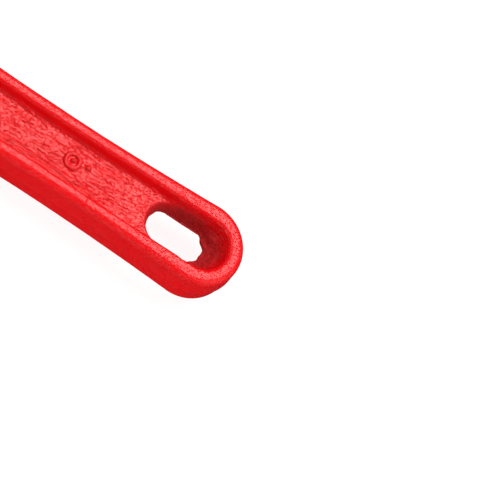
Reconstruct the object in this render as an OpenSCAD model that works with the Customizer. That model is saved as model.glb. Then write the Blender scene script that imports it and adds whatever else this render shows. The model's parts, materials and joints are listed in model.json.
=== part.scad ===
// Straight pipe wrench, 200 mm (8 inch) nominal size.
//
// The wrench lies on its side: X runs along the handle towards the jaws, Y towards the open side
// of the jaws, Z through the thickness. The handle and the housing around the nut are one casting.
// The hook jaw is a threaded bar that the nut moves along X. Nut and hook jaw rock together by a
// few degrees in the housing, against the coil spring and the flat spring.

/* [Handle grip] */
// Radius of the rounded handle end
end_r = 10.6; // [9.8:0.1:11.2]
// Half width of the grip at its narrowest place
waist_half = 9.75; // [9:0.05:10.2]
// Distance of the narrowest place from the centre of the end arc
waist_x = 42; // [36:1:50]
// Thickness of the grip
grip_t = 11.7; // [10:0.1:13]
// Width of the flange around the recessed web
rim_w = 3.1; // [2.6:0.1:3.6]
// Depth of the recess on each side of the web
recess_depth = 2.8; // [1.5:0.1:3.4]
// Length of the hanging slot
slot_len = 15.3; // [12:0.1:16]
// Width of the hanging slot
slot_w = 8.4; // [7:0.1:9]

/* [Housing] */
// X of the housing's lower face, from the centre of the end arc
housing_x0 = 90; // [88:0.5:92]
// X of the housing's front face, where the heel jaw sits
housing_x1 = 130; // [129.5:0.5:132]
// Thickness of the housing
housing_t = 19.6; // [19.4:0.1:22]
// Y of the front of the housing, on the open side of the jaws
housing_front = 12.6; // [11.8:0.1:14]
// Thickness of the wall behind the nut
back_wall = 3.3; // [2.6:0.1:4.5]

/* [Jaws] */
// X of the tooth tips of the heel jaw
heel_teeth_x = 140.4; // [139:0.1:142]
// Thickness of both jaws where they bite
jaw_t = 12.6; // [10:0.1:14]
// Opening at the throat of the jaws as the wrench lies
rest_gap = 12.65; // [12.65:0.05:16]
// Angle by which the hook jaw rocks forwards when it grips, and by which its teeth lean open at rest
rock_angle = 3; // [2:0.1:3]
// Distance from one tooth to the next
tooth_pitch = 2.45; // [2:0.05:3]
// Depth of a tooth
tooth_depth = 1.25; // [0.8:0.05:1.4]

/* [Nut and thread] */
// Radius over the thread of the hook jaw
thread_r = 6.5; // [6.3:0.1:6.6]
// Thickness of the hook jaw's bar across its flats
bar_t = 9; // [8:0.1:9.2]
// Distance that the hook jaw moves in one turn of the nut
thread_lead = 3; // [3:0.1:3.2]
// Depth of the thread
thread_depth = 1.2; // [0.9:0.05:1.3]
// Outer radius of the nut
nut_r = 9.5; // [9:0.1:9.6]
// Height of the nut along the bar
nut_h = 11.2; // [10:0.1:11.4]
// Number of finger grooves around the nut
knurls = 30; // [20:1:36]

/* [Springs and pins] */
// Wire diameter of the coil spring
coil_wire = 0.8; // [0.6:0.1:0.9]
// Outer radius of the coil spring
coil_r = 2.7; // [2.4:0.1:2.8]
// Turns of the coil spring
coil_turns = 4.5; // [3.5:0.5:5.5]
// Thickness of the flat spring
leaf_t = 0.6; // [0.4:0.05:0.7]
// Width of the flat spring
leaf_w = 7; // [5:0.1:7.2]
// Radius of the heel jaw's pin
heel_pin_r = 1.6; // [1.2:0.05:1.8]
// Radius of the spring's pin
spring_pin_r = 1; // [0.8:0.05:1.1]

/* [Hidden] */
$fn = 64;
fit = 0.02;        // radial clearance of the pins in their holes
run = 0.35;        // clearance between moving faces

// Handle
end_x = -0.6;                        // centre of the end arc, which makes the end slightly long
end_rim = 0.6;                       // extra width of the rim round the end
widen = 0.0008;                      // the grip widens with the square of the distance past the waist
recess_x1 = housing_x0 - 9;          // centre of the recess's round inner end
slot_x = 4.75;                       // centre of the hanging slot
ramp_x0 = housing_x0 - 12;           // the casting thickens from here ...
ramp_x1 = housing_x0 + 3;            // ... to here

// Bar, nut and rocking pivot
bar_front = -12.5;                   // Y of the bar's front edge
bar_y = bar_front - thread_r;        // Y of the bar's axis
nut_x = housing_x0 + 14.5;           // X of the nut's middle, where the bar rocks
window_half = nut_h / 2 + 0.8;       // half height of the window around the nut
window_r = nut_r + 0.45;             // clearance around the nut
housing_back = bar_y - window_r - back_wall;
corner_r = 6;

// Passage of the bar through the housing, wide enough for the bar to rock forwards
pass_z = bar_t / 2 + 0.4;
front_reach = (housing_x1 - nut_x) * sin(rock_angle);
tail_reach = (nut_x - housing_x0) * sin(rock_angle);
pass_front = bar_front + front_reach + run;
pass_back = bar_y - thread_r - 0.1;
tail_back = bar_y - thread_r - tail_reach - run;
tail_front = bar_front + 0.3;

// Heel jaw
heel_back = -10.2;
heel_nose = 14;
tang_z = 3.8;
tang_x0 = housing_x1 - 7.4;
tang_back = -8;
tang_front = 10;
heel_pin_x = housing_x1 - 3.8;
heel_pin_y = 2.5;

// Hook jaw
travel_in = 12;                      // the nut can bring the hook jaw this much closer
hook_x = heel_teeth_x + rest_gap;    // tooth tips at the throat
hook_nose = 14.5;
hook_top = hook_x + 15.5;
neck_x = housing_x1 + travel_in + 0.7;
tail_x = 75;
thread_x1 = nut_x + nut_h / 2 + travel_in + 2;
bar_back = bar_y - thread_r;
groove_tip = 0.65;                   // half width of a thread groove at its bottom
groove_mouth = 0.95;                 // half width of a thread groove at the outside
helix_angle = atan(thread_lead / (2 * PI * thread_r));

// Springs
leaf_y = bar_front + 0.1;            // face of the flat spring that bears on the bar
leaf_x1 = housing_x1 - 3;
leaf_room = leaf_y + leaf_t + front_reach + 0.3;
curl_r = spring_pin_r + 0.1 + leaf_t;
spring_pin_x = housing_x0 + 24.4;
curl_lift = 0.5;                     // keeps the curl clear of the bar as the jaw rocks
spring_pin_y = leaf_y + curl_r + curl_lift;
coil_x = spring_pin_x + 4.4;
coil_y0 = leaf_y + leaf_t + 0.05;
coil_y1 = coil_y0 + 7.1;
coil_room = coil_r + 0.4;

// The row's origin: middle of the box around the wrench, on the surface it lies on
mid_x = (end_x - end_r + hook_top) / 2;
mid_y = (housing_back + hook_nose) / 2;
mid_z = -housing_t / 2;

red = "#d8161f";
forged = "#5b5c5f";
bright = "#9a9b9e";
spring_blue = "#4a5561";

function square_of(v) = v * v;

// Half width of the grip at x
function grip_half(x) = x < waist_x
    ? waist_half + (end_r - waist_half) * square_of((waist_x - x) / (waist_x - end_x))
    : waist_half + widen * square_of(x - waist_x);

// Width of the rim at x: a little more round the end
function rim_at(x) = rim_w + end_rim * max(0, 1 - (x - end_x) / slot_len);

// Points of an arc round (x, y), one every 7.5 degrees
function arc(x, y, r, a0, a1) = let(steps = round(abs(a1 - a0) / 7.5)) [
    for (i = [0 : steps]) let(a = a0 + (a1 - a0) * i / steps) [x + r * cos(a), y + r * sin(a)]
];

// The places from x0 to x1 along the grip where its outline has a point, without the two ends
function stations(x0, x1) = let(count = ceil((x1 - x0) / 4)) [
    for (i = [1 : count - 1]) x0 + (x1 - x0) * i / count
];

// Half thickness of the casting, drawn in the XZ plane
function thickness_outline() = [
    [end_x - end_r - 1, grip_t / 2],
    [ramp_x0, grip_t / 2],
    [ramp_x1, housing_t / 2],
    [housing_x1 - 3, housing_t / 2],
    [housing_x1 + 1, housing_t / 2 - 2.4]
];

module place() {
    translate([-mid_x, -mid_y, -mid_z]) children();
}

// Grip, rail under the heel jaw and housing around the bar, in one outline
module handle_outline() {
    rail_x = housing_x0 - 18;
    front = stations(end_x, rail_x);
    back = stations(end_x, housing_x0);
    polygon(concat(
        arc(end_x, 0, end_r, 270, 90),
        [for (x = front) [x, grip_half(x)]],
        [
            [rail_x, grip_half(rail_x)],
            [housing_x0 + 8, housing_front],
            [housing_x1 - 2, housing_front],
            [housing_x1, housing_front - 2]
        ],
        arc(housing_x1 - corner_r, housing_back + corner_r, corner_r, 0, -90),
        arc(housing_x0 + corner_r, housing_back + corner_r, corner_r, -90, -180),
        [[housing_x0, -grip_half(housing_x0)]],
        [for (i = [len(back) - 1 : -1 : 0]) [back[i], -grip_half(back[i])]]
    ));
}

module casting_blank() {
    intersection() {
        translate([0, 0, -housing_t]) linear_extrude(2 * housing_t) handle_outline();
        translate([0, 2 * housing_t, 0]) rotate([90, 0, 0]) linear_extrude(5 * housing_t) {
            top = thickness_outline();
            polygon(concat(top, [for (i = [len(top) - 1 : -1 : 0]) [top[i][0], -top[i][1]]]));
        }
    }
}

module recess_outline() {
    along = stations(end_x, recess_x1);
    polygon(concat(
        arc(end_x, 0, end_r - rim_at(end_x), 270, 90),
        [for (x = along) [x, grip_half(x) - rim_at(x)]],
        arc(recess_x1, 0, grip_half(recess_x1) - rim_w, 90, -90),
        [for (i = [len(along) - 1 : -1 : 0]) [along[i], rim_at(along[i]) - grip_half(along[i])]]
    ));
}

module slot_outline(length, width) {
    reach = (length - width) / 2;
    translate([-reach, -width / 2]) square([2 * reach, width]);
    for (x = [-reach, reach]) translate([x, 0]) circle(width / 2);
}

module box_between(x0, x1, y0, y1, z) {
    translate([x0, y0, -z]) cube([x1 - x0, y1 - y0, 2 * z]);
}

module handle() {
    color(red) place() difference() {
        casting_blank();
        for (side = [0, 1]) mirror([0, 0, side]) {
            translate([0, 0, grip_t / 2 - recess_depth]) linear_extrude(housing_t) recess_outline();
        }
        translate([slot_x, 0, -housing_t]) linear_extrude(2 * housing_t) slot_outline(slot_len, slot_w);
        // bar passage above the nut, nut window, and bar passage below the nut
        box_between(nut_x, housing_x1 + 1, pass_back, pass_front, pass_z);
        box_between(nut_x - window_half, nut_x + window_half, bar_y - window_r, bar_y + window_r, housing_t);
        box_between(housing_x0 - 1, nut_x, tail_back, tail_front, pass_z);
        // room for the flat spring, its curl and the coil spring
        box_between(spring_pin_x, leaf_x1 + 1, pass_front - 1, leaf_room, leaf_w / 2 + 0.3);
        translate([spring_pin_x, spring_pin_y, 0])
            cylinder(h = leaf_w + 0.6, r = curl_r + 0.35, center = true);
        translate([coil_x, pass_front - 1, 0]) rotate([-90, 0, 0])
            cylinder(h = coil_y1 + 0.05 - pass_front + 1, r = coil_room);
        // slot for the heel jaw's tang, and both pin holes
        box_between(tang_x0 - 0.1, housing_x1 + 1, tang_back - 0.1, tang_front + 0.1, tang_z + 0.1);
        pin_at(heel_pin_x, heel_pin_y, heel_pin_r + fit, 2 * housing_t);
        pin_at(spring_pin_x, spring_pin_y, spring_pin_r + fit, 2 * housing_t);
    }
}

module pin_at(x, y, r, length) {
    translate([x, y, 0]) cylinder(h = length, r = r, center = true);
}

// A pin with a small chamfer at both ends
module chamfered_pin(x, y, r, length) {
    chamfer = 0.25;
    half = length / 2;
    translate([x, y, 0]) rotate_extrude() polygon([
        [0, -half], [r - chamfer, -half], [r, -half + chamfer],
        [r, half - chamfer], [r - chamfer, half], [0, half]
    ]);
}

module heel_jaw_pin() {
    color(bright) place() chamfered_pin(heel_pin_x, heel_pin_y, heel_pin_r, housing_t - 0.6);
}

module spring_pin() {
    color(bright) place() chamfered_pin(spring_pin_x, spring_pin_y, spring_pin_r, housing_t - 0.6);
}

// Saw teeth from y0 to y1 with their tips on x = 0 and their roots below; lean moves the tip along Y
function saw_points(y0, y1, lean) = let(count = floor((y1 - y0) / tooth_pitch)) [
    for (i = [0 : count - 1])
        for (p = [[-tooth_depth, 0], [-0.1, lean - 0.1], [-0.1, lean + 0.1]])
            [p[0], y0 + (i + p[1]) * tooth_pitch]
];

module heel_jaw() {
    teeth = saw_points(heel_back + 0.8, heel_nose - 0.6, 0.75);
    chamfer = 1.2;
    color(forged) place() difference() {
        union() {
            translate([0, 0, -jaw_t / 2]) linear_extrude(jaw_t) polygon(concat(
                [[housing_x1 + 0.02, heel_back], [heel_teeth_x - tooth_depth, heel_back]],
                [for (p = teeth) [heel_teeth_x + p[0], p[1]]],
                [
                    [heel_teeth_x - tooth_depth, heel_nose],
                    [housing_x1 + 0.02 + chamfer, heel_nose],
                    [housing_x1 + 0.02, heel_nose - chamfer]
                ]
            ));
            box_between(tang_x0, housing_x1 + 0.1, tang_back, tang_front, tang_z);
        }
        pin_at(heel_pin_x, heel_pin_y, heel_pin_r + fit, 2 * jaw_t);
    }
}

// Flattened round bar along X
module bar(x0, x1) {
    intersection() {
        translate([x0, bar_y, 0]) rotate([0, 90, 0]) cylinder(h = x1 - x0, r = thread_r);
        box_between(x0 - 1, x1 + 1, bar_y - thread_r - 1, bar_y + thread_r + 1, bar_t / 2);
    }
}

// One groove of the thread on one edge of the bar, lying at the angle of the helix
module thread_groove(x, edge) {
    translate([x, bar_y, 0]) rotate([0, edge * helix_angle, 0]) intersection() {
        rotate([0, 90, 0]) rotate_extrude() polygon([
            [thread_r - thread_depth, -groove_tip],
            [thread_r + 0.5, -groove_mouth - 0.12],
            [thread_r + 0.5, groove_mouth + 0.12],
            [thread_r - thread_depth, groove_tip]
        ]);
        translate([-3, edge > 0 ? 2 : -12, -8]) cube([6, 10, 16]);
    }
}

// Back of the neck and of the head, the sloping top, the nose and the toothed mouth
module hook_outline() {
    spine = bar_back - 0.8;
    shoulder_r = 13;
    throat_r = 2.4;
    lean = tan(rock_angle);
    teeth_back = bar_front + 3.2;
    teeth = saw_points(teeth_back, hook_nose - 0.5, 0.25);
    polygon(concat(
        [[neck_x, bar_back], [neck_x + 3, spine]],
        arc(hook_top - shoulder_r, spine + shoulder_r, shoulder_r, -90, 0),
        [
            [hook_top - 1.2, spine + shoulder_r + 8],
            [hook_top - 6.2, hook_nose - 1.4],
            [hook_top - 7.6, hook_nose],
            [hook_x + tooth_depth + lean * (hook_nose - teeth_back), hook_nose]
        ],
        [for (i = [len(teeth) - 1 : -1 : 0])
            [hook_x - teeth[i][0] + lean * (teeth[i][1] - teeth_back), teeth[i][1]]],
        arc(hook_x - throat_r + tooth_depth, bar_front + throat_r, throat_r, 0, -90),
        [[neck_x, bar_front]]
    ));
}

module hook_jaw() {
    color(forged) place() {
        difference() {
            union() {
                bar(tail_x, hook_x);
                translate([0, 0, -jaw_t / 2]) linear_extrude(jaw_t) hook_outline();
            }
            for (i = [0 : floor((thread_x1 - tail_x) / thread_lead) - 1]) {
                x = nut_x + (i - floor((nut_x - tail_x) / thread_lead) + 0.5) * thread_lead;
                thread_groove(x, 1);
                thread_groove(x + thread_lead / 2, -1);
            }
        }
    }
}

// Points of a helix ridge: trapezoid section, apex inwards, one ring per step
module inner_ridge(r_in, r_out, half_in, half_out, turns, steps) {
    n = turns * steps;
    rings = [for (i = [0 : n]) let(a = 360 * i / steps, x = thread_lead * (i / steps - turns / 2)) [
        for (p = [[r_in, half_in], [r_out, half_out], [r_out, -half_out], [r_in, -half_in]])
            [x + p[1], p[0] * cos(a), p[0] * sin(a)]
    ]];
    points = [for (ring = rings) for (p = ring) p];
    sides = [for (i = [0 : n - 1]) for (k = [0 : 3])
        for (t = [[4 * i + k, 4 * (i + 1) + k, 4 * (i + 1) + (k + 1) % 4],
            [4 * i + k, 4 * (i + 1) + (k + 1) % 4, 4 * i + (k + 1) % 4]]) t];
    polyhedron(points, concat(sides, [[0, 1, 2, 3]], [[4 * n + 3, 4 * n + 2, 4 * n + 1, 4 * n]]));
}

module adjusting_nut() {
    chamfer = 1;
    bore_r = thread_r + 0.25;
    ridge_in = thread_r - thread_depth + 0.25;
    color(bright) place() translate([nut_x, bar_y, 0]) {
        rotate([0, 90, 0]) difference() {
            rotate_extrude() polygon([
                [bore_r, -nut_h / 2],
                [nut_r - chamfer, -nut_h / 2],
                [nut_r, -nut_h / 2 + chamfer],
                [nut_r, nut_h / 2 - chamfer],
                [nut_r - chamfer, nut_h / 2],
                [bore_r, nut_h / 2]
            ]);
            for (i = [0 : knurls - 1]) rotate([0, 0, 360 * i / knurls]) translate([nut_r, 0, -nut_h])
                rotate([0, 0, 45]) translate([-0.55, -0.55, 0]) cube([1.1, 1.1, 2 * nut_h]);
        }
        inner_ridge(ridge_in, bore_r + 0.3, 0.38, 0.62, 3, 36);
    }
}

// Flat spring: a leaf along the bar's front edge, curled round its pin
module flat_spring() {
    lifted = leaf_y + curl_lift;
    color(spring_blue) place() {
        translate([0, 0, -leaf_w / 2]) linear_extrude(leaf_w) {
            polygon([
                [spring_pin_x, lifted], [spring_pin_x + 0.6, lifted], [spring_pin_x + 1.6, leaf_y],
                [leaf_x1, leaf_y], [leaf_x1, leaf_y + leaf_t], [spring_pin_x + 1.7, leaf_y + leaf_t],
                [spring_pin_x + 0.75, lifted + leaf_t], [spring_pin_x, lifted + leaf_t]
            ]);
            difference() {
                translate([spring_pin_x, spring_pin_y]) circle(curl_r);
                translate([spring_pin_x, spring_pin_y]) circle(curl_r - leaf_t);
                translate([spring_pin_x, lifted + leaf_t]) square([curl_r + 1, curl_r - leaf_t]);
            }
        }
    }
}

// Wire swept along a helix, as one polyhedron with eight sides
module coil_spring() {
    sides = 8;
    steps = 18;
    n = coil_turns * steps;
    mean_r = coil_r - coil_wire / 2;
    length = coil_y1 - coil_y0 - coil_wire;
    rings = [for (i = [0 : n]) let(a = 360 * i / steps, y = coil_y0 + coil_wire / 2 + length * i / n) [
        for (k = [0 : sides - 1])
            let(b = 360 * k / sides, r = mean_r + coil_wire / 2 * cos(b))
            [coil_x + r * cos(a), y + coil_wire / 2 * sin(b), r * sin(a)]
    ]];
    points = [for (ring = rings) for (p = ring) p];
    walls = [for (i = [0 : n - 1]) for (k = [0 : sides - 1])
        for (t = [[sides * i + k, sides * (i + 1) + k, sides * (i + 1) + (k + 1) % sides],
            [sides * i + k, sides * (i + 1) + (k + 1) % sides, sides * i + (k + 1) % sides]]) t];
    caps = [[for (k = [0 : sides - 1]) k], [for (k = [sides - 1 : -1 : 0]) sides * n + k]];
    color(spring_blue) place() polyhedron(points, concat(walls, caps));
}

handle();
heel_jaw();
heel_jaw_pin();
hook_jaw();
adjusting_nut();
flat_spring();
coil_spring();
spring_pin();
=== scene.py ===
"""The looks of an 8 inch pipe wrench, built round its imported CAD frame.

Cast and forged pieces are drawn as distance fields, in millimetres, and meshed with OpenVDB, so that
their edges and corners are rounded as real castings are. Field coordinates: x runs from the centre of
the handle's end arc towards the jaws, y towards the open side of the jaws, z from the middle plane up.
"""
import itertools
import json
import math

import bpy
import numpy as np
import openvdb
from mathutils import Matrix, Vector


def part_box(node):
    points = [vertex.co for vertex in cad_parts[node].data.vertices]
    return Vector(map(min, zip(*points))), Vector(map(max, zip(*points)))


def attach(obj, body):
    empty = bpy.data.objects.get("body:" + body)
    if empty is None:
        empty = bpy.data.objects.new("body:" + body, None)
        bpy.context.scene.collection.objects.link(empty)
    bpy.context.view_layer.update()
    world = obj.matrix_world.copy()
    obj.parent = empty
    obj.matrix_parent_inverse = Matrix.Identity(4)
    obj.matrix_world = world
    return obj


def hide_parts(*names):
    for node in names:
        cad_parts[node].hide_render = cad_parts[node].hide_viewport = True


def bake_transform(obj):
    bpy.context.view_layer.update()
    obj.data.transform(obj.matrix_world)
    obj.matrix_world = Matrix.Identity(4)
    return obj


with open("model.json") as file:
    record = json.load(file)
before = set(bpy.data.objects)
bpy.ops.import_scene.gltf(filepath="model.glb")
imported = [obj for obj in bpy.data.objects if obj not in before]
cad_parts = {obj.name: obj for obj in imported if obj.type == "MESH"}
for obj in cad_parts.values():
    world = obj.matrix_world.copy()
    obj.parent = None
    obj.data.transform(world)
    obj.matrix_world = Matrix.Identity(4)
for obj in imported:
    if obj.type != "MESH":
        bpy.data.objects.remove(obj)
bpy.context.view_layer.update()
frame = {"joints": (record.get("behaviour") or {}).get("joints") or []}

MM = 0.001

# ---------------------------------------------------------------- dimensions

# As in the CAD model, except where a line says otherwise

TIP_X = -11.2
END_R, END_X = 10.75, -0.6             # end arc, 0.15 fuller than the CAD model's
WAIST_HALF, WAIST_X, WIDEN = 9.6, 42.0, 0.0008   # waist, 0.15 slimmer on each side
GRIP_T, HOUSING_T = 11.7, 19.6
RIM_W, END_RIM = 3.1, 0.9              # rim, 0.3 wider round the end
RECESS_DEPTH = 2.8
SLOT_X, SLOT_LEN, SLOT_W = 4.75, 15.3, 8.4
HOUSING_X0, HOUSING_X1 = 90.0, 130.0
HOUSING_FRONT, HOUSING_BACK, CORNER_R = 12.6, -32.25, 6.0
RECESS_X1 = HOUSING_X0 - 9

THREAD_R, THREAD_DEPTH, LEAD, BAR_T = 6.5, 1.2, 3.0, 9.0
BAR_FRONT = -12.5
BAR_BACK = BAR_FRONT - 2 * THREAD_R
TAIL_X = 75.0
NUT_R, NUT_H = 9.5, 11.2
ROCK = math.radians(3)                 # how far the bar and nut can rock in the housing

HEEL_TIP, HEEL_BACK, HEEL_NOSE, JAW_T = 140.4, -10.2, 14.0, 12.6
TOOTH_PITCH, TOOTH_DEPTH = 2.45, 1.25
TANG_X0, TANG_BACK, TANG_FRONT, TANG_Z = HOUSING_X1 - 7.4, -8.0, 10.0, 3.8
HOOK_X = HEEL_TIP + 12.65
HOOK_NOSE, HOOK_TOP = 14.5, HOOK_X + 15.5
HOOK_SPINE = BAR_BACK - 0.8
HEEL_TEETH_Y, HOOK_TEETH_Y = HEEL_BACK + 0.8, BAR_FRONT + 3.2   # where the rows of teeth begin
NECK_X = HOUSING_X1 + 12.7
HEEL_PIN = (HOUSING_X1 - 3.8, 2.5, 1.6)
SPRING_PIN_R, LEAF_T, LEAF_W = 1.0, 0.6, 7.0
LEAF_Y = BAR_FRONT + 0.1
CURL_R = SPRING_PIN_R + 0.1 + LEAF_T
CURL_LIFT = 0.5
SPRING_PIN = (HOUSING_X0 + 24.4, LEAF_Y + CURL_R + CURL_LIFT, SPRING_PIN_R)
LEAF_X1 = HOUSING_X1 - 3
COIL_X, COIL_R, COIL_WIRE, COIL_TURNS = SPRING_PIN[0] + 4.4, 2.7, 0.8, 4.5
COIL_ROOM = 7.2                        # length of the coil spring's pocket

PLAY = 0.1                             # gap round fitted parts, 0.02 at the CAD model's pins
THROUGH = 30                           # half the depth of a cut that goes right through
# The same oval bounds the painted shade that darkens the slot's paint
SLOT_MIDDLE, SLOT_SQUASH = SLOT_X - 1.6, 0.62   # the oval round the slot where metal and paint are rough

# The field's origin in the row frame, from the handle's box
low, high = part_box("handle")
ORIGIN = Vector((low.x - TIP_X * MM, low.y - HOUSING_BACK * MM, (low.z + high.z) / 2))
pivot = next(j for j in frame["joints"] if j["name"] == "nut_spin")["pos_m"]
NUT_X, BAR_Y, _ = (Vector(pivot) - ORIGIN) / MM


def in_row(point):
    """A point of the field's millimetres, in the row frame's metres."""
    return ORIGIN + Vector(point) * MM


# ---------------------------------------------------------------- distance fields

class Grid:
    """Sample points over a box, closer together where fine steps are asked for."""

    def __init__(self, x, y, z):
        self.axes = [np.asarray(a, float) for a in (x, y, z)]
        self.x = self.axes[0][:, None, None]
        self.y = self.axes[1][None, :, None]
        self.z = self.axes[2][None, None, :]


def steps(low, high, size):
    """Even sample places from just below low to just above high."""
    return np.arange(low - 2 * size, high + 2.5 * size, size)


def smoothstep(v, a, b):
    """0 below a and 1 above b, with a smooth rise between them."""
    t = np.clip((v - a) / (b - a), 0, 1)
    return t * t * (3 - 2 * t)


def both(a, b, r):
    """Where two solids overlap, with the edge between them rounded to radius r."""
    pa, pb = np.maximum(a + r, 0), np.maximum(b + r, 0)
    return np.sqrt(pa * pa + pb * pb) + np.minimum(np.maximum(a + r, b + r), 0) - r


def joined(a, b, r):
    """Two solids together, with a fillet of radius r between them."""
    return -both(-a, -b, r)


def without(a, b, r):
    """Solid a with b cut out, and the cut's edge rounded to radius r."""
    return both(a, -b, r)


def block(g, x0, x1, y0, y1, half_z, r):
    """A box with its edges rounded to radius r."""
    q = [
        np.abs(g.x - (x0 + x1) / 2) - (x1 - x0) / 2 + r,
        np.abs(g.y - (y0 + y1) / 2) - (y1 - y0) / 2 + r,
        np.abs(g.z) - half_z + r,
    ]
    outside = np.sqrt(sum(np.maximum(v, 0) ** 2 for v in q))
    return outside + np.minimum(np.maximum(np.maximum(q[0], q[1]), q[2]), 0) - r


def rod_z(g, x, y, r):
    """An endless rod along z."""
    return np.hypot(g.x - x, g.y - y) - r


def outline_distance(points, g):
    """Distance from a closed outline in the xy plane, negative inside."""
    best = np.full((len(g.axes[0]), len(g.axes[1]), 1), 1e9)
    inside = np.zeros(best.shape, bool)
    points = np.asarray(points, float)
    for (ax, ay), (bx, by) in zip(points, np.roll(points, -1, axis=0)):
        dx, dy = bx - ax, by - ay
        t = np.clip(((g.x - ax) * dx + (g.y - ay) * dy) / (dx * dx + dy * dy + 1e-12), 0, 1)
        best = np.minimum(best, (g.x - ax - t * dx) ** 2 + (g.y - ay - t * dy) ** 2)
        if dy:
            crossed = ((ay > g.y) != (by > g.y)) & (g.x < ax + (g.y - ay) * dx / dy)
            inside ^= crossed
    return np.where(inside, -1, 1) * np.sqrt(best)


def arc(x, y, r, a0, a1):
    """Points of an arc round (x, y), one every 5 degrees or so."""
    count = max(2, round(abs(a1 - a0) / 5))
    angles = np.radians(np.linspace(a0, a1, count + 1))
    return [(x + r * math.cos(a), y + r * math.sin(a)) for a in angles]


# Turns the noise's lattice off the axes, so that its cells don't line up with the faces
LATTICE_TURN = np.array(Matrix.Rotation(0.7, 3, (0.48, 0.6, 0.64)))
HASH_PRIMES, HASH_MIX, HASH_MASK = (374761393, 668265263, 2147483647), 1274126177, 0xFFFFFFFF


def noise(p, cell, seed):
    """Smooth noise from -1 to 1 at the points p, with one random value for each cell."""
    q = p / np.asarray(cell, float) @ LATTICE_TURN
    base = np.floor(q).astype(np.int64)
    t = q - base
    t = t * t * (3 - 2 * t)
    total = np.zeros(len(p))
    for corner in itertools.product((0, 1), repeat=3):
        h = ((base + corner) @ HASH_PRIMES + seed * HASH_MIX) & HASH_MASK
        h = ((h ^ (h >> 13)) * HASH_MIX) & HASH_MASK
        value = ((h ^ (h >> 16)) & 0xFFFF) / 32767.5 - 1
        total += value * np.prod(np.where(corner, t, 1 - t), axis=1)
    return total


# ---------------------------------------------------------------- meshes

def vertex_normals(points, quads):
    """Unit normals at the points, each face counted by its area."""
    a, b, c, d = (points[quads[:, k]] for k in range(4))
    face = np.cross(c - a, d - b)
    total = np.zeros_like(points)
    for k in range(4):
        for axis in range(3):
            total[:, axis] += np.bincount(quads[:, k], face[:, axis], len(points))
    return total / np.maximum(np.linalg.norm(total, axis=1), 1e-12)[:, None]


def mesh_object(name, points, faces):
    """A smooth-shaded object from points in the field's millimetres."""
    mesh = bpy.data.meshes.new(name)
    mesh.from_pydata((np.asarray(points) * MM + np.array(ORIGIN)).tolist(), [], [list(f) for f in faces])
    mesh.polygons.foreach_set("use_smooth", np.ones(len(mesh.polygons), bool))
    mesh.update()
    obj = bpy.data.objects.new(name, mesh)
    bpy.context.scene.collection.objects.link(obj)
    return obj


FAR = 2.0   # fields are cut off this far from the surface


def solid(name, grid, field, relief=None):
    """Meshes the surface where the field is zero, and moves it outwards by relief(points)."""
    volume = openvdb.FloatGrid(FAR)
    volume.copyFromArray(np.clip(field, -FAR, FAR).astype(np.float32))
    index, quads = volume.convertToQuads(isovalue=0.0)
    points = np.stack(
        [np.interp(index[:, k], np.arange(len(a)), a) for k, a in enumerate(grid.axes)], axis=1
    )
    quads = quads[:, ::-1]
    if relief:
        points += vertex_normals(points, quads) * relief(points)[:, None]
    return mesh_object(name, points, quads.tolist())


def thin_out(obj, triangles):
    """Reduces a dense mesh to about this many triangles, most of them where it curves."""
    count = sum(len(p.vertices) - 2 for p in obj.data.polygons)
    if count <= triangles:
        return
    modifier = obj.modifiers.new("thin", "DECIMATE")
    modifier.ratio = triangles / count
    depsgraph = bpy.context.evaluated_depsgraph_get()
    mesh = bpy.data.meshes.new_from_object(obj.evaluated_get(depsgraph))
    obj.modifiers.clear()
    old, obj.data = obj.data, mesh
    bpy.data.meshes.remove(old)


# ---------------------------------------------------------------- handle

def grip_half(x):
    """Half width of the grip at x."""
    flare = (END_R - WAIST_HALF) * ((WAIST_X - x) / (WAIST_X - END_X)) ** 2
    return WAIST_HALF + np.where(x < WAIST_X, flare, WIDEN * (x - WAIST_X) ** 2)


def rim_at(x):
    """Width of the rim at x, a little more round the end."""
    return RIM_W + END_RIM * np.clip(1 - (x - END_X) / 20, 0, 1)


def grip_outline(x1, inset=lambda x: 0 * x):
    """The grip's outline from its end to x1, moved in by inset(x)."""
    xs = np.linspace(END_X, x1, 40)
    half = grip_half(xs) - inset(xs)
    end = arc(END_X, 0, half[0], 270, 90)
    return end + list(zip(xs, half)) + list(zip(xs[::-1], -half[::-1]))


def housing_outline():
    """The housing's outline, with the short slope up to it from the grip's front edge."""
    nose_r, r = 3.0, CORNER_R
    return (
        [(HOUSING_X0 - 4, grip_half(HOUSING_X0 - 4)), (HOUSING_X0 + 8, HOUSING_FRONT)]
        + arc(HOUSING_X1 - nose_r, HOUSING_FRONT - nose_r, nose_r, 90, 0)
        + arc(HOUSING_X1 - r, HOUSING_BACK + r, r, 0, -90)
        + arc(HOUSING_X0 + r, HOUSING_BACK + r, r, -90, -180)
        + [(HOUSING_X0, -grip_half(HOUSING_X0))]
    )


def casting(g):
    """The body of the casting before anything is cut into it."""
    az = np.abs(g.z)
    grip = outline_distance(grip_outline(HOUSING_X0 + 4), g)
    housing = outline_distance(housing_outline(), g)
    outline = joined(grip, housing, 7.0)
    ramp = smoothstep(g.x, HOUSING_X0 - 15, HOUSING_X0 + 4)
    half_t = (GRIP_T + (HOUSING_T - GRIP_T) * ramp) / 2
    half_t = half_t - 1.6 * smoothstep(g.x, HOUSING_X1 - 3, HOUSING_X1 + 1)
    draft = 0.07 * az
    parting_line = 0.08 * np.exp(-(g.z / 0.45) ** 2)
    edge_r = 1.7 + 0.8 * ramp
    return both(outline + draft - parting_line, az - half_t, edge_r)


def flat_noise(g, cell, seed):
    """Noise over the grid's x and y, the same at every depth."""
    level = np.stack(np.broadcast_arrays(g.x, g.y, 0 * g.x), axis=-1)
    return noise(level.reshape(-1, 3), (cell, cell, 1), seed).reshape(level.shape[:3])


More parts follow.
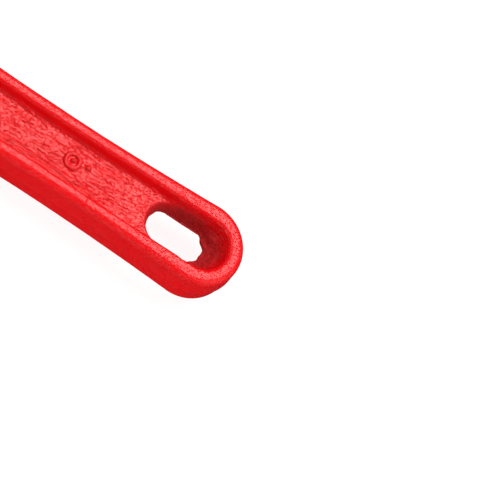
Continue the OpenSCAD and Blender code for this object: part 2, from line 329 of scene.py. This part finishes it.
def pocket_wall(g):
    """The sloping inner wall of the rim: negative inside the pocket, at any depth."""
    outline = outline_distance(grip_outline(RECESS_X1 + 5.5, rim_at), g)
    inner_end = np.hypot(np.maximum(g.x - RECESS_X1 + 2, 0), g.y) - grip_half(RECESS_X1) + RIM_W
    uneven = 0.06 * flat_noise(g, 2.4, 12)
    nicks = sum(
        size * np.exp(-(((g.x - x) / 0.55) ** 2) - ((g.y - y) / 0.8) ** 2)
        for x, y, size in ((1.6, 6.7, 0.30), (-2.4, 6.5, 0.35), (-4.6, 5.6, 0.25), (9.0, -6.9, 0.2))
    )
    draft = 0.30 * (GRIP_T / 2 - np.abs(g.z))
    return both(outline, inner_end, 3.0) + uneven - nicks + draft


def recess(g, wall):
    """The pocket on each side of the web, with a rounded foot."""
    return both(wall, GRIP_T / 2 - RECESS_DEPTH - np.abs(g.z), 0.7)


def slot(g, wall):
    """The hanging slot, a funnel from both sides: steep inside, wide round the handle's end."""
    az = np.abs(g.z)
    reach = (SLOT_LEN - SLOT_W) / 2
    outline = np.hypot(np.maximum(np.abs(g.x - SLOT_X) - reach, 0), g.y) - SLOT_W / 2
    widening = 0.42 + 0.22 * smoothstep(-g.x, -10, -5) + 0.75 * smoothstep(-g.x, -3.5, 2.0)
    funnel = outline - widening * (np.sqrt(az * az + 0.2) - 0.45)
    return outline, both(funnel, wall, 0.8)


def flash(g, outline):
    """Thin ragged metal left along the parting plane at the outer end of the slot."""
    half_t, root = 0.45, 1.5
    lump = 1.9 * np.exp(-(((g.x + 1.9) / 1.5) ** 2) - ((g.y + 2.9) / 1.25) ** 2)
    width = (0.25 + 0.3 * flat_noise(g, 0.9, 5)) * smoothstep(-g.x, -1.5, 1.0) + lump
    plate = np.maximum(-(outline + width), outline - root)
    return both(plate, np.abs(g.z) - half_t, 0.3)


def handle_cuts(g, body):
    """Cuts the passages, the nut's window, the springs' pockets and the heel jaw's slot."""
    lean_ahead = (HOUSING_X1 - NUT_X) * math.sin(ROCK)
    lean_behind = (NUT_X - HOUSING_X0) * math.sin(ROCK)
    pass_z = BAR_T / 2 + 0.4
    front, back = BAR_FRONT + lean_ahead + 0.35, BAR_Y - THREAD_R - PLAY
    tail_front, tail_back = BAR_FRONT + 0.3, back - lean_behind - 0.25
    window_h, window_r = NUT_H / 2 + 0.8, NUT_R + 0.45
    curl_x, curl_y, _ = SPRING_PIN
    leaf_room, leaf_z = LEAF_Y + LEAF_T + lean_ahead + 0.3, LEAF_W / 2 + 0.3
    tang = (TANG_X0 - PLAY, HOUSING_X1 + 9, TANG_BACK - PLAY, TANG_FRONT + PLAY, TANG_Z + PLAY)
    window = (NUT_X - window_h, NUT_X + window_h, BAR_Y - window_r, BAR_Y + window_r, THROUGH)
    # Each cut with the radius that it leaves on its edges
    cuts = [
        (block(g, NUT_X, HOUSING_X1 + 9, back, front, pass_z, 0.6), 0.7),
        (block(g, HOUSING_X0 - 9, NUT_X, tail_back, tail_front, pass_z, 0.6), 0.7),
        (block(g, 50, HOUSING_X0 - 0.3, -60, tail_front, THROUGH, 0.3), 0.5),
        (block(g, *window, 1.2), 1.1),
        (block(g, curl_x, LEAF_X1 + 9, front - 2, leaf_room, leaf_z, 0.3), 0.2),
        (block(g, *tang, 0.2), 0.3),
        (np.maximum(rod_z(g, curl_x, curl_y, CURL_R + 0.35), np.abs(g.z) - LEAF_W / 2 - 0.3), 0.1),
    ]
    for cut, r in cuts:
        body = without(body, cut, r)
    for x, y, r in (HEEL_PIN, SPRING_PIN):
        body = without(body, rod_z(g, x, y, r + PLAY), 0.25)
    coil = np.hypot(g.x - COIL_X, g.z) - COIL_R - 0.4
    coil = np.maximum(coil, np.maximum(front - 1 - g.y, g.y - LEAF_Y - LEAF_T - COIL_ROOM))
    return without(body, coil, 0.1)


def mark(g):
    """A small raised foundry mark on the web: a ring with a dot in it and one beside it."""
    x, y, floor = 34.3, -0.4, GRIP_T / 2 - RECESS_DEPTH
    ring_r, ring_w, dot_r, height = 1.75, 0.84, 0.5, 0.7
    across = np.hypot(g.x - x, g.y - y)
    ring = np.abs(across - ring_r) - ring_w / 2
    beside = np.hypot(g.x - x + 4.0, g.y - y + 0.6) - 0.6
    shapes = np.minimum(np.minimum(ring, across - dot_r), beside)
    return both(shapes, np.abs(g.z - floor) - height, 0.2)


# Lengthwise wrinkles of the web: seed, size of a cell and depth
WRINKLES = ((4, (18.0, 1.7, 3), 0.24), (5, (9.0, 1.0, 3), 0.15), (6, (5.0, 0.7, 3), 0.09))


def cast_relief(p):
    """The rough casting's unevenness under its paint: strong on the web, slight on the rims."""
    x, y, z = p.T
    on_web = smoothstep(-np.abs(z), -3.9, -3.3) * smoothstep(-np.abs(y), -7.6, -6.6)
    on_web *= smoothstep(x, 9.5, 14.0) * smoothstep(-x, -RECESS_X1 - 6, -RECESS_X1)
    level = p * (1, 1, 0.3)
    swell = 0.05 * noise(p, (14, 9, 12), 8) + 0.02 * noise(p, (3, 3, 3), 1)
    pits = -0.22 * np.maximum(noise(level, (1.6, 0.9, 2), 2) - 0.25, 0)
    wrinkles = np.zeros(len(p))
    for seed, cell, depth in WRINKLES:
        patch = smoothstep(noise(level, (6, 3, 3), seed + 20), -0.2, 0.4)
        wrinkles -= depth * patch * np.maximum(1 - 4 * np.abs(noise(level, cell, seed)), 0) ** 1.5
    away_from_slot = smoothstep(x, 16, 32)
    wrinkles *= 0.4 + 0.6 * away_from_slot

    # Two close grooves that wander along one side of the web
    line_y, spread, width, depth = 4.5, 0.55, 0.34, 0.42
    upright = p * (1, 0, 1)
    sway = 0.5 * noise(upright, (9, 1, 60), 7) + 0.25 * noise(upright, (2.5, 1, 60), 9)
    seam = depth * away_from_slot * np.exp(-(((np.abs(y - line_y - sway) - spread) / width) ** 2))

    in_slot = smoothstep(-np.hypot(SLOT_SQUASH * (x - SLOT_MIDDLE), y), -6.6, -5.2)
    in_slot *= smoothstep(-np.abs(z), -5.0, -4.0)
    lumps = 0.24 * noise(p, (1.5, 1.5, 1.5), 14) + 0.14 * noise(p, (0.8, 0.8, 0.8), 15)
    return swell + on_web * (pits + wrinkles - seam) + in_slot * lumps


def make_handle():
    """The painted casting, sampled finely in the grip and more coarsely in the housing."""
    fine, coarse = ((0.3, 0.4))
    grip_x1, grip_y0 = 66, -12
    grid = Grid(
        np.concatenate([
            np.arange(END_X - END_R - 1, grip_x1, fine), np.arange(grip_x1, HOUSING_X1 + 2, coarse)
        ]),
        np.concatenate([
            np.arange(HOUSING_BACK - 1.5, grip_y0, coarse), np.arange(grip_y0, HOUSING_FRONT + 2.5, fine)
        ]),
        steps(-HOUSING_T / 2, HOUSING_T / 2, fine),
    )
    wall = pocket_wall(grid)
    outline, funnel = slot(grid, wall)
    body = without(casting(grid), np.minimum(recess(grid, wall), funnel), 1.0)
    body = joined(body, flash(grid, outline), 0.3)
    body = joined(body, mark(grid), 0.15)
    body = handle_cuts(grid, body)
    obj = solid("handle_casting", grid, body, cast_relief)
    thin_out(obj, 196_000)
    return obj


# ---------------------------------------------------------------- jaws

def saw(y0, y1, lean):
    """(depth below the tips, y) along a row of saw teeth."""
    count = int((y1 - y0) / TOOTH_PITCH)
    tooth = ((TOOTH_DEPTH, 0), (0.08, lean - 0.08), (0.08, lean + 0.08))
    return [(d, y0 + (i + t) * TOOTH_PITCH) for i in range(count) for d, t in tooth]


def heel_outline():
    """The heel jaw's head from the side, with its teeth towards the hook jaw."""
    foot, chamfer, root = HOUSING_X1 + 0.02, 1.2, HEEL_TIP - TOOTH_DEPTH
    return (
        [(foot, HEEL_BACK), (root, HEEL_BACK)]
        + [(HEEL_TIP - d, y) for d, y in saw(HEEL_TEETH_Y, HEEL_NOSE - 0.6, 0.75)]
        + [(root, HEEL_NOSE), (foot + chamfer, HEEL_NOSE), (foot, HEEL_NOSE - chamfer)]
    )


def make_heel_jaw():
    """The toothed block on its tang, with rounded corners and crisp teeth."""
    size = 0.2
    grid = Grid(
        steps(TANG_X0, HEEL_TIP, size),
        steps(HEEL_BACK, HEEL_NOSE, size),
        steps(-JAW_T / 2, JAW_T / 2, size),
    )
    radius = 0.9 - 0.75 * smoothstep(grid.x, HEEL_TIP - 3.2, HEEL_TIP - 1.6)
    head = both(outline_distance(heel_outline(), grid), np.abs(grid.z) - JAW_T / 2, radius)
    tang = block(grid, TANG_X0, HOUSING_X1 + 2, TANG_BACK, TANG_FRONT, TANG_Z, 0.4)
    body = joined(head, tang, 0.3)
    body = without(body, rod_z(grid, HEEL_PIN[0], HEEL_PIN[1], HEEL_PIN[2] + 0.05), 0.15)
    return solid("heel_jaw_block", grid, body, lambda p: 0.02 * noise(p, (1.6, 1.6, 1.6), 31))


def hook_outline():
    """The hook jaw's head from the side. Its teeth lean open by the angle that the jaw rocks."""
    shoulder, nose_r, throat = 13.0, 3.0, 2.4
    lean = math.tan(ROCK)
    teeth = saw(HOOK_TEETH_Y, HOOK_NOSE - 0.5, 0.25)
    nose = HOOK_X + TOOTH_DEPTH + lean * (HOOK_NOSE - HOOK_TEETH_Y)
    return (
        [(NECK_X, BAR_BACK), (NECK_X + 3, HOOK_SPINE)]
        + arc(HOOK_TOP - shoulder, HOOK_SPINE + shoulder, shoulder, -90, 0)
        + [(HOOK_TOP - 1.2, HOOK_SPINE + shoulder + 8)]
        + arc(HOOK_TOP - 9.2, HOOK_NOSE - nose_r, nose_r, 20, 90)
        + [(nose, HOOK_NOSE)]
        + [(HOOK_X + d + lean * (y - HOOK_TEETH_Y), y) for d, y in reversed(teeth)]
        + arc(HOOK_X - throat + TOOTH_DEPTH, BAR_FRONT + throat, throat, 0, -90)
        + [(NECK_X, BAR_FRONT)]
    )


def thread_wave(phase):
    """0 on the crest of the thread and 1 at the bottom of its groove, over one turn."""
    away = np.abs(phase - np.round(phase)) * LEAD
    return np.clip((0.98 - away) / 0.3, 0, 1)


def make_hook_jaw():
    """The threaded bar, which runs out into the neck, and the forged hook on its end."""
    size = 0.25
    grid = Grid(
        steps(TAIL_X, HOOK_TOP, size),
        steps(HOOK_SPINE, HOOK_NOSE, size),
        steps(-JAW_T / 2, JAW_T / 2, size),
    )
    across, angle = np.hypot(grid.y - BAR_Y, grid.z), np.arctan2(grid.z, grid.y - BAR_Y)
    turns = (grid.x - NUT_X) / LEAD - angle / (2 * math.pi) + 0.5
    thread_x1 = NUT_X + NUT_H / 2 + 12
    cut = THREAD_DEPTH * thread_wave(turns) * smoothstep(-grid.x, -thread_x1 - 2.5, -thread_x1)
    rod = both(across - THREAD_R + cut, np.abs(grid.z) - BAR_T / 2, 0.35)
    rod = both(rod, both(TAIL_X - grid.x, grid.x - HOOK_X - 3, 0.1), 0.9)
    outline = outline_distance(hook_outline(), grid)
    near_teeth = smoothstep(-np.abs(grid.x - HOOK_X - 1.0), -3.6, -2.2)
    near_teeth = near_teeth * smoothstep(grid.y, BAR_FRONT + 0.5, BAR_FRONT + 3)
    radius = 1.6 - 1.42 * near_teeth
    crown = 0.7 * smoothstep(grid.x, HOOK_TOP - 10, HOOK_TOP + 2)
    flash_line = 0.16 * np.exp(-(grid.z / 0.55) ** 2) * (1 - near_teeth)
    head = both(outline - flash_line, np.abs(grid.z) - JAW_T / 2 + crown, radius)
    body = joined(rod, head, 1.2)

    def forged(p):
        on_head = smoothstep(p[:, 0], NECK_X, NECK_X + 3)
        return on_head * (0.05 * noise(p, (5, 5, 5), 41) + 0.02 * noise(p, (1.3, 1.3, 1.3), 42))

    obj = solid("hook_jaw_forging", grid, body, forged)
    thin_out(obj, 190_000)
    return obj


# ---------------------------------------------------------------- nut

def make_nut():
    """The nut, with crossing knurls outside and the real helical thread inside."""
    size = 0.2
    grid = Grid(
        steps(NUT_X - NUT_H / 2, NUT_X + NUT_H / 2, size),
        steps(BAR_Y - NUT_R, BAR_Y + NUT_R, size),
        steps(-NUT_R, NUT_R, size),
    )
    across, angle = np.hypot(grid.y - BAR_Y, grid.z), np.arctan2(grid.z, grid.y - BAR_Y)
    along = grid.x - NUT_X
    ridges, slant, knurl_depth = 30, 0.9, 0.9
    groove = np.zeros(across.shape)
    for way in (-1, 1):
        phase = (angle + way * slant * along / NUT_R) * ridges / (2 * math.pi)
        away = np.abs(phase - np.round(phase)) * 2 * math.pi * NUT_R / ridges
        groove = np.maximum(groove, np.clip(0.62 - away * math.cos(math.atan(slant)), 0, 1))
    groove = groove * smoothstep(-np.abs(along), -NUT_H / 2 + 0.9, -NUT_H / 2 + 1.5)
    outside = both(across - NUT_R + knurl_depth * groove, np.abs(along) - NUT_H / 2, 1.0)
    turns = along / LEAD - angle / (2 * math.pi) + 0.5
    away = np.abs(turns - np.round(turns)) * LEAD
    ridge = THREAD_DEPTH * np.clip((0.68 - away) / 0.3, 0, 1)
    ridge = ridge * smoothstep(-np.abs(along), -4.9, -4.2)
    bore = across - THREAD_R - 0.25 + ridge
    return solid("adjusting_nut_knurled", grid, without(outside, bore, 0.35))


# ---------------------------------------------------------------- springs and pins

def make_leaf():
    """The flat spring, a strip curled round its pin."""
    size = 0.1
    x, y, _ = SPRING_PIN
    grid = Grid(
        steps(x - CURL_R, LEAF_X1, size),
        steps(LEAF_Y, y + CURL_R, size),
        steps(-LEAF_W / 2, LEAF_W / 2, size),
    )
    across = np.hypot(grid.x - x, grid.y - y)
    ring = np.abs(across - CURL_R + LEAF_T / 2) - LEAF_T / 2
    ring = np.maximum(ring, np.minimum(grid.x - x, y - grid.y))
    lifted = LEAF_Y + CURL_LIFT * smoothstep(-grid.x, -x - 1.7, -x - 0.5)
    strip = np.abs(grid.y - lifted - LEAF_T / 2) - LEAF_T / 2
    strip = np.maximum(strip, np.maximum(x - grid.x, grid.x - LEAF_X1))
    leaf = both(np.minimum(ring, strip), np.abs(grid.z) - LEAF_W / 2, 0.2)
    return solid("flat_spring_leaf", grid, leaf)


def tube_faces(spans, around):
    """The faces between rings of this many points, one ring after the other."""
    faces = []
    for i, k in itertools.product(range(spans), range(around)):
        j, ring, following = (k + 1) % around, i * around, (i + 1) * around
        faces.append((ring + k, following + k, following + j, ring + j))
    return faces


def make_coil():
    """The coil spring, a round wire along a helix whose end turns lie flat."""
    sides, per_turn, wire_r = 12, 28, COIL_WIRE / 2
    count = round(COIL_TURNS * per_turn)
    y0, y1 = LEAF_Y + LEAF_T + 0.05, LEAF_Y + LEAF_T + COIL_ROOM - 0.05
    turn = np.linspace(0, 1, count + 1)
    rise = turn + 0.4 * np.sin(4 * math.pi * turn) / (4 * math.pi)
    points = []
    for t, y in zip(turn, y0 + wire_r + (y1 - y0 - COIL_WIRE) * rise):
        a = 2 * math.pi * COIL_TURNS * t
        for b in np.linspace(0, 2 * math.pi, sides, endpoint=False):
            r = COIL_R - wire_r + wire_r * math.cos(b)
            points.append((COIL_X + r * math.cos(a), y + wire_r * math.sin(b), r * math.sin(a)))
    faces = tube_faces(count, sides)
    faces += [tuple(range(sides)), tuple(count * sides + k for k in reversed(range(sides)))]
    return mesh_object("coil_spring_wire", points, faces)


def make_pin(name, place, length):
    """A turned pin along z: chamfered, slightly domed ends and a small centre mark."""
    x, y, r = place
    half, around = length / 2, 48
    # (radius, height above the end) from the centre mark out to the chamfer's foot
    end = [
        (0.0, -0.12), (0.18 * r, -0.02), (0.3 * r, 0.0), (0.6 * r, -0.01),
        (r - 0.28, -0.04), (r - 0.06, -0.2), (r, -0.32),
    ]
    profile = [(radius, half + rise) for radius, rise in end]
    profile += [(radius, -z) for radius, z in reversed(profile)]
    rings = profile[1:-1]
    turn = np.linspace(0, 2 * math.pi, around, endpoint=False)
    points = [
        (x + radius * math.cos(a), y + radius * math.sin(a), z) for radius, z in rings for a in turn
    ]
    top, bottom = len(points), len(points) + 1
    points += [(x, y, profile[0][1]), (x, y, profile[-1][1])]
    last = (len(rings) - 1) * around
    faces = tube_faces(len(rings) - 1, around)
    faces += [(top, k, (k + 1) % around) for k in range(around)]
    faces += [(bottom, last + (k + 1) % around, last + k) for k in range(around)]
    return mesh_object(name, points, faces)


# ---------------------------------------------------------------- materials

class Shader:
    """A new material and short calls that add nodes to it."""

    def __init__(self, name):
        self.material = bpy.data.materials.new(name)
        self.material.use_nodes = True
        self.tree = self.material.node_tree
        self.surface = self.tree.nodes["Principled BSDF"]
        self.place = self.add("ShaderNodeTexCoord").outputs["Object"]

    def add(self, kind, inputs=None, **settings):
        """A new node with these settings. An input is a number, a colour or a node's output."""
        node = self.tree.nodes.new(kind)
        for key, value in settings.items():
            setattr(node, key, value)
        for key, value in (inputs or {}).items():
            self.put(node.inputs[key], value)
        return node

    def put(self, socket, value):
        if isinstance(value, bpy.types.NodeSocket):
            self.tree.links.new(value, socket)
        else:
            socket.default_value = value

    def set(self, **values):
        """Sets sockets of the surface shader, with _ for a space in their names."""
        for key, value in values.items():
            self.put(self.surface.inputs[key.replace("_", " ")], value)

    def math(self, operation, a, b=0.0):
        return self.add("ShaderNodeMath", {0: a, 1: b}, operation=operation).outputs[0]

    def vector(self, operation, a, b=(0, 0, 0), output="Vector"):
        return self.add("ShaderNodeVectorMath", {0: a, 1: b}, operation=operation).outputs[output]

    def split(self, vector):
        """The X, Y and Z outputs of a vector."""
        return self.add("ShaderNodeSeparateXYZ", {0: vector}).outputs

    def surface_is(self, output):
        """An output of the Geometry node, such as Normal or Pointiness."""
        return self.add("ShaderNodeNewGeometry").outputs[output]

    def noise(self, per_mm, detail=2.0, rough=0.5, stretch=(1, 1, 1)):
        """Noise with this many features to the millimetre, stretched along the axes."""
        scaled = self.vector("MULTIPLY", self.place, [s / MM for s in stretch])
        inputs = {"Vector": scaled, "Scale": per_mm, "Detail": detail, "Roughness": rough}
        return self.add("ShaderNodeTexNoise", inputs).outputs["Fac"]

    def ramp(self, value, low, high, out_low=0.0, out_high=1.0):
        """Goes smoothly from out_low to out_high as the value goes from low to high."""
        inputs = {"Value": value, 1: low, 2: high, 3: out_low, 4: out_high}
        return self.add("ShaderNodeMapRange", inputs, interpolation_type="SMOOTHSTEP").outputs[0]

    def mix(self, share, a, b):
        """Colour a with this share of colour b."""
        node = self.add("ShaderNodeMix", data_type="RGBA", blend_type="MIX")
        for socket, value in ((node.inputs[0], share), (node.inputs[6], a), (node.inputs[7], b)):
            self.put(socket, value)
        return node.outputs[2]

    def bump(self, height, depth_mm, under=None):
        """Normals bent as by this relief, on top of those of another bump."""
        inputs = {"Height": height, "Distance": depth_mm * MM, "Strength": 1.0}
        node = self.add("ShaderNodeBump", inputs)
        if under is not None:
            self.put(node.inputs["Normal"], under)
        return node.outputs["Normal"]

    def edges(self, low, high):
        """1 on sharp outward edges and 0 elsewhere."""
        return self.ramp(self.surface_is("Pointiness"), low, high)

    def rounding(self):
        """1 where the surface turns over between a flat side and an upright wall, and 0 on both."""
        tilt = self.math("ABSOLUTE", self.split(self.surface_is("Normal"))["Z"])
        return self.math("MULTIPLY", self.ramp(tilt, 0.25, 0.6), self.ramp(tilt, 0.985, 0.85))


def rgb(r, g, b):
    """A colour given as it looks on a screen, from 0 to 255."""
    linear = [((c / 255 + 0.055) / 1.055) ** 2.4 if c > 10 else c / 255 / 12.92 for c in (r, g, b)]
    return linear + [1.0]


def slot_shade_zone(s):
    """1 inside the hanging slot and 0 away from it: there the paint is darkened with painted shade and
    made rougher.
    """
    away = s.vector("SUBTRACT", s.place, in_row((SLOT_MIDDLE, 0, 0)))
    squashed = s.vector("MULTIPLY", away, (SLOT_SQUASH, 1.0, 0.9))
    return s.ramp(s.vector("LENGTH", squashed, output="Value"), 8.0 * MM, 5.0 * MM)


def red_paint():
    """Thick glossy enamel over a casting: streaked on the web; the slot, corners and sunken lines are
    rougher and darkened with painted shade.
    """
    s = Shader("red_enamel")
    place = s.split(s.place)
    height = s.math("ABSOLUTE", s.math("SUBTRACT", place["Z"], ORIGIN.z))
    aside = s.math("ABSOLUTE", s.math("SUBTRACT", place["Y"], ORIGIN.y))
    along = s.math("SUBTRACT", place["X"], ORIGIN.x)
    on_web = s.math(
        "MULTIPLY", s.ramp(height, 3.9 * MM, 3.2 * MM), s.ramp(aside, 8.4 * MM, 7.4 * MM)
    )
    # hollow is 1 in concave creases and corners, whose paint is darkened there as painted shade and made
    # rougher
    hollow = s.ramp(s.surface_is("Pointiness"), 0.5, 0.42)
    in_slot = slot_shade_zone(s)

    # Thin lines along the web: sunken is 1 in them, streaks is 1 between them. The sunken lines get
    # painted shade in their colour.
    streaked = s.math("MULTIPLY", on_web, s.ramp(along, 12 * MM, 32 * MM, 0.45, 1.0))
    streaks = s.ramp(s.noise(1.6, 3.0, 0.6, (0.2, 1.4, 1.0)), 0.66, 0.54)
    streaks = s.math("MULTIPLY", streaks, streaked)
    sunken = s.math("SUBTRACT", streaked, streaks)

    colour = s.mix(s.noise(0.14, 3.0), rgb(228, 8, 15), rgb(242, 11, 19))
    # Painted shade in creases and corners
    colour = s.mix(hollow, colour, rgb(192, 4, 10))
    # Painted shade: the hanging slot's paint darker, as the slot's depths lie in shade
    colour = s.mix(s.math("MULTIPLY", in_slot, 0.85), colour, rgb(156, 0, 4))
    # Painted shade in the sunken lines
    colour = s.mix(s.math("MULTIPLY", sunken, 0.5), colour, rgb(218, 2, 8))

    specks = s.ramp(s.noise(2.0, 3.0, 0.6, (0.7, 1.2, 1.0)), 0.64, 0.52)
    normal = s.bump(s.noise(0.6, 1.0), 0.018)
    normal = s.bump(streaks, 0.13, normal)
    normal = s.bump(s.math("MULTIPLY", specks, s.math("MAXIMUM", on_web, 0.5)), 0.11, normal)
    normal = s.bump(s.ramp(s.noise(1.9, 2.0), 0.36, 0.64), 0.03, normal)

    rough = s.ramp(s.noise(0.5, 3.0), 0.3, 0.7, 0.15, 0.22)
    rough = s.math("ADD", rough, s.math("MULTIPLY", in_slot, 0.5))
    rough = s.math("ADD", rough, s.math("MULTIPLY", s.math("MAXIMUM", hollow, sunken), 0.4))
    s.set(Base_Color=colour, Roughness=rough, Normal=normal, IOR=1.38)
    return s.material


def forged_steel(name, tooth, outwards):
    """Oil-blackened forging, worn along its corners, and bright where teeth are ground."""
    s = Shader(name)
    scale = s.noise(0.45, 4.0, 0.6)
    away = s.vector("SUBTRACT", s.place, in_row(tooth))
    ahead = s.vector("DOT_PRODUCT", away, outwards, "Value")
    above = s.ramp(s.split(away)["Y"], -0.4 * MM, 0.4 * MM)
    ground = s.math("MULTIPLY", s.ramp(ahead, -1.35 * MM, -0.55 * MM), above)
    ground = s.math("MULTIPLY", ground, s.ramp(ahead, 1.6 * MM, 1.2 * MM))
    worn = s.math("MULTIPLY", s.rounding(), s.ramp(s.noise(0.7, 4.0, 0.6), 0.44, 0.66))
    scuffs = s.math("MAXIMUM", s.math("MULTIPLY", ground, 0.85), s.math("MULTIPLY", worn, 0.45))
    dark = s.mix(scale, rgb(76, 76, 80), rgb(116, 115, 115))
    colour = s.mix(scuffs, dark, rgb(222, 220, 215))
    normal = s.bump(scale, 0.06)
    normal = s.bump(s.noise(3.2, 2.0), 0.010, normal)
    rough = s.math("SUBTRACT", s.ramp(scale, 0.3, 0.7, 0.42, 0.58), s.math("MULTIPLY", scuffs, 0.16))
    s.set(Base_Color=colour, Metallic=0.85, Roughness=rough, Normal=normal)
    return s.material


def turned_steel(name, tone, grain_axis):
    """Machined steel with fine tool marks across one axis."""
    s = Shader(name)
    stretch = [0.15, 0.15, 0.15]
    stretch[grain_axis] = 6.0
    marks = s.noise(1.0, 2.0, 0.5, stretch)
    stain = s.noise(0.35, 3.0)
    worn = s.edges(0.52, 0.58)
    colour = s.mix(stain, rgb(*(0.80 * c for c in tone)), rgb(*tone))
    colour = s.mix(worn, colour, rgb(*(min(255, 1.22 * c) for c in tone)))
    normal = s.bump(marks, 0.006)
    normal = s.bump(s.noise(1.8, 2.0), 0.008, normal)
    rough = s.ramp(stain, 0.3, 0.7, 0.26, 0.42)
    s.set(Base_Color=colour, Metallic=0.95, Roughness=rough, Normal=normal)
    return s.material


def blued_steel():
    """Hardened spring steel, with the blue-grey of tempering."""
    s = Shader("blued_steel")
    clouds = s.noise(0.6, 3.0)
    colour = s.mix(clouds, rgb(52, 60, 74), rgb(88, 94, 104))
    s.set(Base_Color=colour, Metallic=0.9, Roughness=0.32, Normal=s.bump(s.noise(2.5, 2.0), 0.004))
    return s.material


# ---------------------------------------------------------------- assembly

def finished(obj, material, node):
    """Gives a piece its material, and lets it stand for its CAD node."""
    obj.data.materials.clear()
    obj.data.materials.append(material)
    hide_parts(node)
    return obj


heel_steel = forged_steel("heel_jaw_steel", (HEEL_TIP, HEEL_TEETH_Y, 0), (1, 0, 0))
hook_steel = forged_steel(
    "hook_jaw_steel", (HOOK_X, HOOK_TEETH_Y, 0), (-math.cos(ROCK), math.sin(ROCK), 0)
)
pin_steel, spring_steel = turned_steel("pin_steel", (188, 187, 184), 2), blued_steel()
nut_steel = turned_steel("nut_steel", (158, 157, 156), 0)

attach(finished(make_handle(), red_paint(), "handle"), "frame")
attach(finished(make_heel_jaw(), heel_steel, "heel_jaw"), "frame")
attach(finished(make_hook_jaw(), hook_steel, "hook_jaw"), "jaw")
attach(finished(make_nut(), nut_steel, "adjusting_nut"), "nut")
pin_length = HOUSING_T - 0.5
heel_rivet = make_pin("heel_jaw_rivet", HEEL_PIN, pin_length)
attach(finished(heel_rivet, pin_steel, "heel_jaw_pin"), "frame")
spring_rivet = make_pin("spring_rivet", SPRING_PIN, pin_length)
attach(finished(spring_rivet, pin_steel, "spring_pin"), "frame")

# The springs are left out of the moving bodies, with their places baked into their meshes
leaf = finished(make_leaf(), spring_steel, "flat_spring")
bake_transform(leaf)
coil = finished(make_coil(), spring_steel, "coil_spring")
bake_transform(coil)

# ---------------------------------------------------------------- studio

def make_floor():
    """White paper that glows, so that it stays white, and that no gloss reflects."""
    reach = 8
    corners = [(x * reach, y * reach, 0) for x, y in ((-1, -1), (1, -1), (1, 1), (-1, 1))]
    mesh = bpy.data.meshes.new("floor")
    mesh.from_pydata(corners, [], [(0, 1, 2, 3)])
    floor = bpy.data.objects.new("floor", mesh)
    bpy.context.scene.collection.objects.link(floor)
    s = Shader("floor_paper")
    s.set(Base_Color=(0.18, 0.18, 0.18, 1), Roughness=0.9)
    s.set(Emission_Color=(1, 1, 1, 1), Emission_Strength=0.90)
    s.set(Normal=s.bump(s.noise(0.2, 2.0), 0.02))
    floor.data.materials.append(s.material)
    floor.visible_glossy = False


def direction(azimuth, elevation):
    """A unit vector at these degrees: azimuth from +X towards +Y, elevation up from the floor."""
    azimuth, elevation = math.radians(azimuth), math.radians(elevation)
    level = math.cos(elevation)
    return Vector((level * math.cos(azimuth), level * math.sin(azimuth), math.sin(elevation)))


def softbox(name, azimuth, elevation, half_angle, radiance, distance=3.0):
    """A square light facing the wrench, as wide as this angle seen from it."""
    size = 2 * distance * math.tan(math.radians(half_angle))
    light = bpy.data.lights.new(name, "AREA")
    light.size = size
    light.energy = radiance * math.pi * size * size
    obj = bpy.data.objects.new(name, light)
    toward = direction(azimuth, elevation)
    obj.location = toward * distance
    obj.rotation_euler = toward.to_track_quat("Z", "Y").to_euler()
    bpy.context.scene.collection.objects.link(obj)


def make_camera():
    """A long lens above the jaws' side of the grip, turned about its own axis as the photo is."""
    lens, sensor, width = 300.0, 36.0, 115.4
    aim = in_row((-12.14, -7.77, 0))
    back = direction(70.47, 61.60)
    roll = math.radians(50.52)
    data = bpy.data.cameras.new("camera")
    data.lens, data.sensor_width = lens, sensor
    data.clip_start, data.clip_end = 0.01, 20
    camera = bpy.data.objects.new("camera", data)
    turn = back.to_track_quat("Z", "Y").to_matrix() @ Matrix.Rotation(roll, 3, "Z")
    camera.matrix_world = Matrix.Translation(aim + back * (lens / sensor * width * MM)) @ turn.to_4x4()
    bpy.context.scene.collection.objects.link(camera)
    bpy.context.scene.camera = camera


def make_sky(overhead, below):
    """A dim room: this bright from 37 degrees up, fading to this at the horizon and below it."""
    world = bpy.data.worlds.new("studio")
    world.use_nodes = True
    tree = world.node_tree
    up = tree.nodes.new("ShaderNodeSeparateXYZ")
    level = tree.nodes.new("ShaderNodeMapRange")
    tree.links.new(tree.nodes.new("ShaderNodeTexCoord").outputs["Generated"], up.inputs[0])
    tree.links.new(up.outputs["Z"], level.inputs["Value"])
    heights = (("From Min", 0.0), ("From Max", 0.6), ("To Min", below), ("To Max", overhead))
    for name, value in heights:
        level.inputs[name].default_value = value
    background = tree.nodes["Background"]
    background.inputs["Color"].default_value = (1, 1, 1, 1)
    tree.links.new(level.outputs["Result"], background.inputs["Strength"])
    bpy.context.scene.world = world


make_floor()
make_camera()
softbox("overhead", 250.5, 62, 22, 5.6)
softbox("fill_end", 165, 27, 30, 1.0)
softbox("fill_side", 68, 8, 22, 2.3)
softbox("overhead_head", 355, 52, 18, 1.2)
make_sky(0.15, 0.02)
bpy.context.scene.view_settings.view_transform = "Standard"
